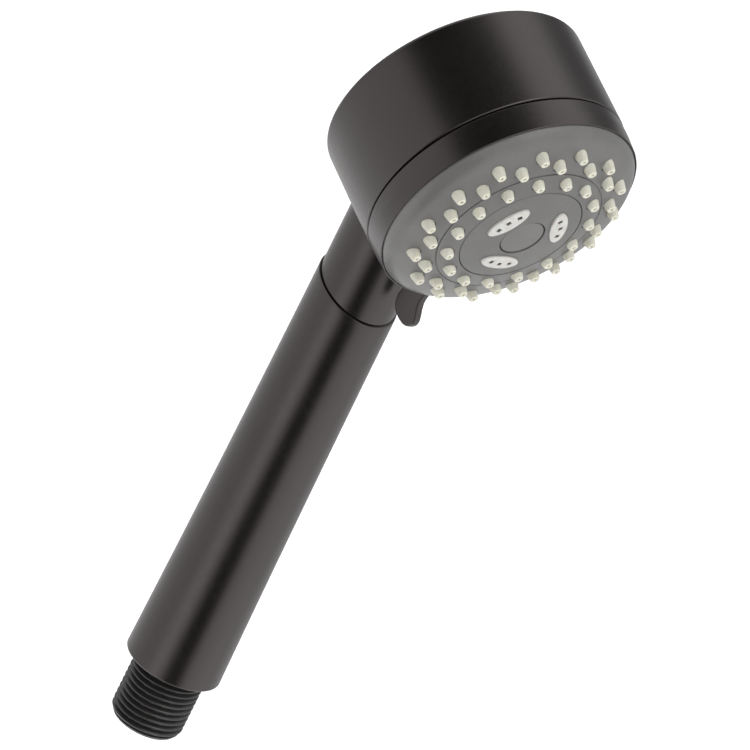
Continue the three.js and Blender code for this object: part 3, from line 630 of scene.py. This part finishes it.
def centre_disc():
    disc = turned("finished_centre_disc", [
        (DISC_HOLE_R, crown_height(DISC_HOLE_R), 0.15),
        *crown_arc(DISC_HOLE_R + 0.4, DISC_R - 0.6),
        (DISC_R, crown_height(DISC_R), 0.3),
        *crown_arc(DISC_R, DISC_HOLE_R, DISC_TOP - FACE_WALL),
    ], closed=True)
    slack = 2 * INSERT_CLEARANCE
    opening = loft("opening", [
        oval(INSERT_LENGTH + slack, INSERT_WIDTH + slack, height) for height in (0, 12)
    ])
    return cut(disc, repeated(opening, insert_places()))


def massage_insert(i):
    """Oval cup whose top follows the crown round it, with three square jets."""
    inset_and_drop = []
    for step in range(FILLET_STEPS + 1):
        turn = pi / 2 * step / FILLET_STEPS
        inset_and_drop.append((INSERT_EDGE * (1 - cos(turn)), INSERT_EDGE * (1 - sin(turn))))
    rings = [oval(INSERT_LENGTH, INSERT_WIDTH, -INSERT_DEPTH)]
    for inset, drop in inset_and_drop:
        rings.append(oval(INSERT_LENGTH - 2 * inset, INSERT_WIDTH - 2 * inset, -drop))
    for share in (0.6, 0.3):
        rings.append(oval(INSERT_LENGTH * share, INSERT_WIDTH * share, 0))
    rings.append([(0, 0, 0)])
    insert = crowned(loft(f"finished_massage_insert_{i + 1}", rings), i)
    inside = (INSERT_LENGTH - 4 * INSERT_WALL, INSERT_WIDTH - 2 * INSERT_WALL)
    hollow = crowned(loft("hollow", [
        oval(*inside, height) for height in (-INSERT_DEPTH - 1, -INSERT_ROOF)
    ]), i)
    jet = loft("jet", [square(JET_SIZE, -INSERT_DEPTH), square(JET_SIZE, 2)])
    lift = Matrix.Translation((0, 0, crown_height(JET_RADIUS)))
    turn = 2 * pi * i / INSERT_COUNT
    places = [lift @ spot(JET_RADIUS, turn + side * JET_SPACING) for side in (-1, 0, 1)]
    return cut(insert, hollow, repeated(jet, places))


def crowned(part, i):
    """Moves a level part to the place of an insert and bends it to the crown there."""
    moved(part, insert_places()[i])
    for vertex in part.data.vertices:
        vertex.co.z += crown_height(hypot(vertex.co.x, vertex.co.y)) + INSERT_PROUD
    return part


def square(size, height):
    half = size / 2
    return [(-half, -half, height), (half, -half, height), (half, half, height), (-half, half, height)]


def centre_cap():
    """Crowned cap, set a little below the disc round it, with a plug behind."""
    return turned("finished_centre_cap", [
        (0, PLUG_BACK), (PLUG_R, PLUG_BACK), (PLUG_R, CAP_BACK), (CAP_R, CAP_BACK),
        (CAP_R, crown_height(CAP_R, CAP_TOP), 0.25),
        *crown_arc(CAP_R - 0.8, 0, CAP_TOP),
    ], sides=96)


def tab_outline(inset):
    """The thumb tab's outline in the plane of the head's axis, as (distance from axis, height)."""
    reach = TAB_REACH - inset
    low, high = -7.9 + inset, 2.5 - inset
    start = (TAB_ROOT, -7.7 + inset)
    curves = (
        ((42.6, low), (46.0, low), (reach, -5.9), (reach, -3.0)),
        ((reach, -3.0), (reach, 0.4), (46.9, high), (44.6, high)),
        ((44.6, high), (42.4, high), (41.3, -0.75 - inset), (37.8, -1.0 - inset)),
    )
    points = [start]
    for curve in curves:
        points += [bezier(curve, step / 10) for step in range(11)]
    points.append((TAB_ROOT, -1.3 - inset))
    return list(dict.fromkeys(points))


def bezier(handles, share):
    a, b, c, d = (Vector(handle) for handle in handles)
    rest = 1 - share
    return tuple(rest**3 * a + 3 * rest**2 * share * b + 3 * rest * share**2 * c + share**3 * d)


def tab():
    """Thumb tab: a fin plate in the middle plane with eased edges."""
    half = TAB_THICKNESS / 2
    edge = TAB_EDGE
    turns = [pi / 2 * step / FILLET_STEPS for step in range(FILLET_STEPS + 1)]
    insets = [edge * (1 - sin(turn)) for turn in turns]
    sides = [half - edge * (1 - cos(turn)) for turn in turns]
    layers = [(inset, -side) for inset, side in zip(insets, sides)]
    layers += [(inset, side) for inset, side in reversed(list(zip(insets, sides)))]
    rings = [[(x, side, z) for x, z in tab_outline(inset)] for inset, side in layers]
    return loft("tab", rings)


def selector_ring():
    """Dark ring round the face, with the thumb tab that turns it."""
    ring = turned("finished_selector_ring", [
        (RING_INNER_R, RING_BACK), (RING_BACK_R, RING_BACK, 0.3), (RING_BACK_R, RING_TAPER, 6),
        (RING_FRONT_R, RING_FRONT, 0.22), (RING_LIP_R, RING_FRONT, 0.1),
        (RING_LIP_R, RING_SEAT), (RING_INNER_R, RING_SEAT),
    ], closed=True)
    return join(ring, tab())


# ---- Materials ----


def shader_of(name):
    """A new material, its node tree, its main shader and the place on the piece."""
    material = bpy.data.materials.new(name)
    material.use_nodes = True
    tree = material.node_tree
    shader = next(node for node in tree.nodes if node.type == "BSDF_PRINCIPLED")
    place = tree.nodes.new("ShaderNodeTexCoord").outputs["Object"]
    return material, tree, shader, place


def node_value(tree, kind, settings, sockets, output):
    """Makes a node, sets its properties and sockets, and gives one of its outputs."""
    node = tree.nodes.new(kind)
    for key, value in settings.items():
        setattr(node, key, value)
    for key, value in sockets.items():
        if isinstance(value, bpy.types.NodeSocket):
            tree.links.new(value, node.inputs[key])
        else:
            node.inputs[key].default_value = value
    return node.outputs[output]


def noise(tree, place, size, detail=2.0):
    """Soft noise whose lumps are about size millimetres across."""
    sockets = {"Vector": place, "Scale": 1 / (size * MM), "Detail": detail}
    return node_value(tree, "ShaderNodeTexNoise", {}, sockets, "Fac")


def cells(tree, place, size):
    """One even value for each cell of about size millimetres."""
    sockets = {"Vector": place, "Scale": 1 / (size * MM)}
    return node_value(tree, "ShaderNodeTexVoronoi", {}, sockets, "Color")


def stretched(tree, place, scale):
    return node_value(tree, "ShaderNodeMapping", {}, {"Vector": place, "Scale": scale}, "Vector")


def ranged(tree, value, from_low, from_high, low, high):
    sockets = {
        "Value": value, "From Min": from_low, "From Max": from_high, "To Min": low, "To Max": high,
    }
    settings = {"interpolation_type": "SMOOTHSTEP"}
    return node_value(tree, "ShaderNodeMapRange", settings, sockets, "Result")


def sums(tree, operation, *values):
    settings = {"operation": operation}
    return node_value(tree, "ShaderNodeMath", settings, dict(enumerate(values)), "Value")


def mixed(tree, share, first, second):
    """Colour between two others."""
    node = tree.nodes.new("ShaderNodeMix")
    node.data_type = "RGBA"
    tree.links.new(share, node.inputs["Factor"])
    for socket, colour in zip(("A", "B"), (first, second)):
        target = next(s for s in node.inputs if s.name == socket and s.type == "RGBA")
        if isinstance(colour, bpy.types.NodeSocket):
            tree.links.new(colour, target)
        else:
            target.default_value = (*colour, 1)
    return next(s for s in node.outputs if s.type == "RGBA")


def bumped(tree, shader, layers):
    """Stacks (height, depth in mm) layers of bump under the shader."""
    normal = None
    for height, depth in layers:
        sockets = {"Height": height, "Distance": depth * MM, "Strength": 1.0}
        if normal:
            sockets["Normal"] = normal
        normal = node_value(tree, "ShaderNodeBump", {}, sockets, "Normal")
    tree.links.new(normal, shader.inputs["Normal"])


def set_constants(shader, **values):
    for name, value in values.items():
        shader.inputs[name.replace("_", " ")].default_value = value


def body_bronze():
    """Satin powder coat: nearly black, warm, with a fine orange peel and pinhead flecks."""
    material, tree, shader, place = shader_of("bronze_coat")
    drift = noise(tree, place, 14)
    peel = noise(tree, place, 0.9, 3)
    grain = noise(tree, place, 0.16)
    fleck = ranged(tree, cells(tree, place, 0.12), 0.75, 0.95, 0, 1)
    tone = mixed(
        tree, ranged(tree, drift, 0.3, 0.7, 0, 1), (0.0034, 0.0027, 0.0025), (0.0052, 0.0042, 0.0039)
    )
    colour = mixed(tree, fleck, tone, (0.012, 0.0096, 0.0086))
    tree.links.new(colour, shader.inputs["Base Color"])
    satin = ranged(tree, peel, 0.25, 0.75, 0.30, 0.35)
    rough = sums(tree, "ADD", satin, ranged(tree, grain, 0.3, 0.7, -0.015, 0.015))
    tree.links.new(rough, shader.inputs["Roughness"])
    set_constants(shader, IOR=1.65, Specular_Tint=(1.0, 0.9, 0.885, 1))
    bumped(tree, shader, [(peel, 0.0035), (grain, 0.0012)])
    return material


def thread_black():
    """Moulded black plastic; its crests carry a painted highlight, a little lighter and rougher."""
    material, tree, shader, place = shader_of("moulded_black")
    flow = noise(tree, place, 2.5, 3)
    grain = noise(tree, place, 0.12)
    axes = tree.nodes.new("ShaderNodeSeparateXYZ")
    tree.links.new(place, axes.inputs["Vector"])
    squares = [sums(tree, "MULTIPLY", axes.outputs[i], axes.outputs[i]) for i in (0, 1)]
    radius = sums(tree, "SQRT", sums(tree, "ADD", *squares))
    # painted highlight: the outermost crests are painted lighter, broken up by noise
    crest_band = ranged(tree, radius, (THREAD_R - 0.35) * MM, THREAD_R * MM, 0, 1)
    painted_crest_highlight = sums(tree, "MULTIPLY", crest_band, ranged(tree, flow, 0.4, 0.65, 0.2, 1))
    # base colour, lighter on the crests as a painted highlight
    colour = mixed(tree, painted_crest_highlight, (0.020, 0.0187, 0.0182), (0.028, 0.0262, 0.0255))
    tree.links.new(colour, shader.inputs["Base Color"])
    moulded = ranged(tree, flow, 0.3, 0.7, 0.28, 0.34)
    rough = sums(tree, "ADD", moulded, ranged(tree, painted_crest_highlight, 0, 1, 0, 0.04))
    tree.links.new(rough, shader.inputs["Roughness"])
    set_constants(shader, IOR=1.5)
    bumped(tree, shader, [(flow, 0.006), (grain, 0.0008)])
    return material


def satin_grey(name, dark, light, gloss):
    """Spark-textured moulded plastic: fine even grain with a faint drift of tone."""
    material, tree, shader, place = shader_of(name)
    drift = noise(tree, place, 9, 3)
    grain = noise(tree, place, 0.2, 2)
    speck = ranged(tree, cells(tree, place, 0.3), 0.2, 0.9, 0, 1)
    tone = mixed(tree, ranged(tree, drift, 0.3, 0.7, 0, 1), dark, light)
    darker = tuple(0.86 * channel for channel in dark)
    colour = mixed(tree, ranged(tree, speck, 0, 1, 0, 0.22), tone, darker)
    tree.links.new(colour, shader.inputs["Base Color"])
    tree.links.new(ranged(tree, grain, 0.3, 0.7, gloss - 0.04, gloss + 0.05), shader.inputs["Roughness"])
    set_constants(shader, IOR=1.5)
    bumped(tree, shader, [(grain, 0.0025), (drift, 0.01)])
    return material


def face_grey():
    return satin_grey("face_plastic", (0.118, 0.116, 0.113), (0.134, 0.132, 0.128), 0.37)


def cap_grey():
    return satin_grey("cap_plastic", (0.138, 0.132, 0.127), (0.154, 0.147, 0.142), 0.4)


def nozzle_silicone():
    """Cream silicone: soft, slightly translucent, warmer in its thin places."""
    material, tree, shader, place = shader_of("cream_silicone")
    cloud = noise(tree, place, 3, 2)
    grain = noise(tree, place, 0.25)
    tree.links.new(
        mixed(tree, ranged(tree, cloud, 0.3, 0.7, 0, 1), (0.62, 0.61, 0.52), (0.68, 0.67, 0.58)),
        shader.inputs["Base Color"],
    )
    tree.links.new(ranged(tree, grain, 0.3, 0.7, 0.42, 0.52), shader.inputs["Roughness"])
    set_constants(
        shader, IOR=1.41, Subsurface_Weight=0.35, Subsurface_Scale=0.0008, Subsurface_Radius=(1, 0.85, 0.55)
    )
    bumped(tree, shader, [(grain, 0.004)])
    return material


def insert_white():
    """Off-white moulded plastic with a faint warm mottle."""
    material, tree, shader, place = shader_of("insert_plastic")
    mottle = noise(tree, place, 1.6, 3)
    grain = noise(tree, place, 0.2)
    tree.links.new(
        mixed(tree, ranged(tree, mottle, 0.3, 0.7, 0, 1), (0.53, 0.52, 0.495), (0.59, 0.58, 0.555)),
        shader.inputs["Base Color"],
    )
    tree.links.new(ranged(tree, grain, 0.3, 0.7, 0.42, 0.5), shader.inputs["Roughness"])
    set_constants(shader, IOR=1.48, Subsurface_Weight=0.1, Subsurface_Scale=0.0006)
    bumped(tree, shader, [(grain, 0.003)])
    return material


def inner_plastic():
    """Natural acetal: milky white with faint flow marks."""
    material, tree, shader, place = shader_of("natural_acetal")
    flow = noise(tree, stretched(tree, place, (1, 1, 0.35)), 5, 3)
    grain = noise(tree, place, 0.3)
    tree.links.new(
        mixed(tree, ranged(tree, flow, 0.3, 0.7, 0, 1), (0.66, 0.66, 0.62), (0.74, 0.74, 0.70)),
        shader.inputs["Base Color"],
    )
    tree.links.new(ranged(tree, grain, 0.3, 0.7, 0.34, 0.44), shader.inputs["Roughness"])
    set_constants(shader, IOR=1.48)
    bumped(tree, shader, [(grain, 0.003), (flow, 0.01)])
    return material


def black_rubber():
    """Nitrile rubber: matt black with a fine dusty bloom."""
    material, tree, shader, place = shader_of("nitrile_rubber")
    bloom = noise(tree, place, 1.2, 4)
    grain = noise(tree, place, 0.1)
    tree.links.new(
        mixed(tree, ranged(tree, bloom, 0.4, 0.75, 0, 1), (0.011, 0.011, 0.011), (0.024, 0.023, 0.022)),
        shader.inputs["Base Color"],
    )
    tree.links.new(ranged(tree, bloom, 0.3, 0.7, 0.62, 0.75), shader.inputs["Roughness"])
    set_constants(shader, IOR=1.5)
    bumped(tree, shader, [(grain, 0.003)])
    return material


def steel():
    """Stainless steel with fine drawn lines."""
    material, tree, shader, place = shader_of("stainless_steel")
    lines = noise(tree, stretched(tree, place, (1, 1, 12)), 1.5, 3)
    tree.links.new(
        mixed(tree, ranged(tree, lines, 0.3, 0.7, 0, 1), (0.50, 0.50, 0.49), (0.60, 0.59, 0.58)),
        shader.inputs["Base Color"],
    )
    tree.links.new(ranged(tree, lines, 0.3, 0.7, 0.24, 0.36), shader.inputs["Roughness"])
    set_constants(shader, Metallic=1.0)
    bumped(tree, shader, [(lines, 0.002)])
    return material


MATERIAL_MAKERS = (
    body_bronze, thread_black, face_grey, cap_grey, nozzle_silicone, insert_white,
    inner_plastic, black_rubber, steel,
)


# ---- Pieces on their bodies ----


def finish_nodes():
    """Gives every CAD node the finish of its slot; returns the finishes and each node's slot."""
    finishes = {maker.__name__: maker() for maker in MATERIAL_MAKERS}
    slots = {}
    for name, node in frame["nodes"].items():
        slots[name] = node.data.materials[0].name
        node.data.materials[0] = finishes[slots[name]]
    return finishes, slots


def place_piece(part, place, body):
    """Puts a finished piece in the row frame, in metres, in place of the CAD node it details."""
    node = part.name.removeprefix("finished_")
    part.data.transform(Matrix.Scale(MM, 4) @ place)
    smoothed(part)
    part.data.materials.clear()
    part.data.materials.append(finishes[slots[node]])
    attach(part, body)
    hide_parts(node)


def build_pieces():
    for part in (handle_tube(), inlet_connector(), inlet_screen()):
        place_piece(part, ROW, "handset")
    place_piece(head_housing(), HEAD, "handset")
    turning = [selector_ring(), face_plate(), nozzle_mat(), centre_disc(), centre_cap()]
    turning += [massage_insert(i) for i in range(INSERT_COUNT)]
    for part in turning:
        place_piece(part, HEAD, "spray_head")


# ---- Camera, stage and light ----

CAMERA_TARGET = Vector((0, -0.01937, 0.12754))
CAMERA_DISTANCE = 1.5791
CAMERA_AZIMUTH = radians(-46.70)
CAMERA_ELEVATION = radians(22.73)
CAMERA_ROLL = radians(26.60)
LENS = 288
SENSOR = 36

KEY_ASIDE = 0.6  # the key light's direction along the camera's axes
KEY_RISE = 0.3
KEY_TOWARDS = 0.74
KEY_GLOW = 2

FLOOR_TOP = -600
FLOOR_THICKNESS = 0.5
FLOOR_REACH = 15000


def camera_axes():
    """Right, up and back directions of the camera."""
    back = Vector((
        sin(CAMERA_AZIMUTH) * cos(CAMERA_ELEVATION),
        -cos(CAMERA_AZIMUTH) * cos(CAMERA_ELEVATION),
        sin(CAMERA_ELEVATION),
    ))
    level = (-back).cross(Vector((0, 0, 1))).normalized()
    upright = level.cross(-back)
    right = cos(CAMERA_ROLL) * level + sin(CAMERA_ROLL) * upright
    up = cos(CAMERA_ROLL) * upright - sin(CAMERA_ROLL) * level
    return right, up, back


def add_camera():
    right, up, back = camera_axes()
    data = bpy.data.cameras.new("camera")
    data.lens = LENS
    data.sensor_width = SENSOR
    data.clip_start = 0.05
    data.clip_end = 50
    camera = bpy.data.objects.new("camera", data)
    place = Matrix.Identity(4)
    for i, axis in enumerate((right, up, back)):
        for row in range(3):
            place[row][i] = axis[row]
    place.translation = CAMERA_TARGET + CAMERA_DISTANCE * back
    camera.matrix_world = place
    bpy.context.scene.collection.objects.link(camera)
    bpy.context.scene.camera = camera


def add_floor():
    """Pale floor well below the piece, lit a little by itself so that it reads as white."""
    top, reach = FLOOR_TOP, FLOOR_REACH
    base = top - FLOOR_THICKNESS
    floor = turned("floor", [(0, base), (reach, base), (reach, top), (0, top)], sides=64)
    floor.data.transform(Matrix.Scale(MM, 4))
    material, tree, shader, place = shader_of("pale_floor")
    cloud = noise(tree, place, 400)
    tree.links.new(
        mixed(tree, cloud, (0.90, 0.90, 0.90), (0.92, 0.92, 0.92)), shader.inputs["Base Color"]
    )
    set_constants(shader, Roughness=1.0, Emission_Color=(1, 1, 1, 1), Emission_Strength=0.35)
    floor.data.materials.append(material)
    floor.visible_glossy = False


def add_light_tent():
    """White tent of soft light with a dark gap where the camera stands.

    Directions are told apart by their cosines with the camera's right, up and back axes. The
    two lobes at the end, one round the camera and the key light, lie off what the handle and
    drum mirror, so they mostly light the face, the nozzles and the thread.
    """
    right, up, back = camera_axes()
    world = bpy.data.worlds.new("light_tent")
    world.use_nodes = True
    bpy.context.scene.world = world
    tree = world.node_tree
    background = next(node for node in tree.nodes if node.type == "BACKGROUND")
    direction = tree.nodes.new("ShaderNodeTexCoord").outputs["Generated"]

    def along(axis):
        sockets = {0: direction, 1: tuple(axis)}
        return node_value(tree, "ShaderNodeVectorMath", {"operation": "DOT_PRODUCT"}, sockets, "Value")

    def times(*factors):
        product = factors[0]
        for factor in factors[1:]:
            product = sums(tree, "MULTIPLY", product, factor)
        return product

    aside, rise, towards = along(right), along(up), along(back)
    left_edge = sums(tree, "ADD", aside, times(rise, 0.18))
    right_edge = sums(tree, "SUBTRACT", aside, times(rise, 0.144))
    inside_left = ranged(tree, left_edge, -0.62, -0.42, 0, 1)
    inside_right = ranged(tree, right_edge, 0.222, 0.402, 1, 0)
    gap = times(inside_left, inside_right, ranged(tree, towards, 0.0, 0.25, 0, 1))
    low_boost = ranged(tree, rise, -0.6, -0.1, 0.4, 0)
    left_panel = times(
        ranged(tree, aside, -0.95, -0.6, 0, 1), ranged(tree, aside, -0.72, -0.5, 1, 0),
        ranged(tree, rise, -0.1, -0.35, 0, 0.9),
    )
    top_right = ranged(tree, sums(tree, "ADD", times(aside, 0.58), times(rise, 0.81)), 0.75, 0.95, 0, 0.3)
    behind = ranged(tree, towards, -0.5, -0.1, 1, 0)
    rear_right = times(behind, ranged(tree, aside, 0.0, 0.35, 0, 1))
    band = times(ranged(tree, rise, 0.2, 0.4, 0, 1), ranged(tree, rise, 0.55, 0.8, 1, 0))
    glow = sums(tree, "ADD", sums(tree, "ADD", low_boost, left_panel), sums(tree, "ADD", top_right, 1.05))
    glow = times(
        glow,
        ranged(tree, gap, 0, 1, 1, 0),
        ranged(tree, times(behind, band), 0, 1, 1, 0.3),
        ranged(tree, rear_right, 0, 1, 1, 0.68),
    )
    glow = sums(tree, "ADD", glow, ranged(tree, towards, 0.955, 0.985, 0, 2))
    key = along((KEY_ASIDE * right + KEY_RISE * up + KEY_TOWARDS * back).normalized())
    glow = sums(tree, "ADD", glow, ranged(tree, key, 0.9, 0.97, 0, KEY_GLOW))
    seen = node_value(tree, "ShaderNodeLightPath", {}, {}, "Is Camera Ray")
    strength = sums(tree, "MAXIMUM", glow, sums(tree, "MULTIPLY", seen, 1.0))
    tree.links.new(strength, background.inputs["Strength"])
    background.inputs["Color"].default_value = (1, 1, 1, 1)


bpy.context.scene.view_settings.view_transform = "Standard"
add_camera()
add_floor()
add_light_tent()
finishes, slots = finish_nodes()
build_pieces()
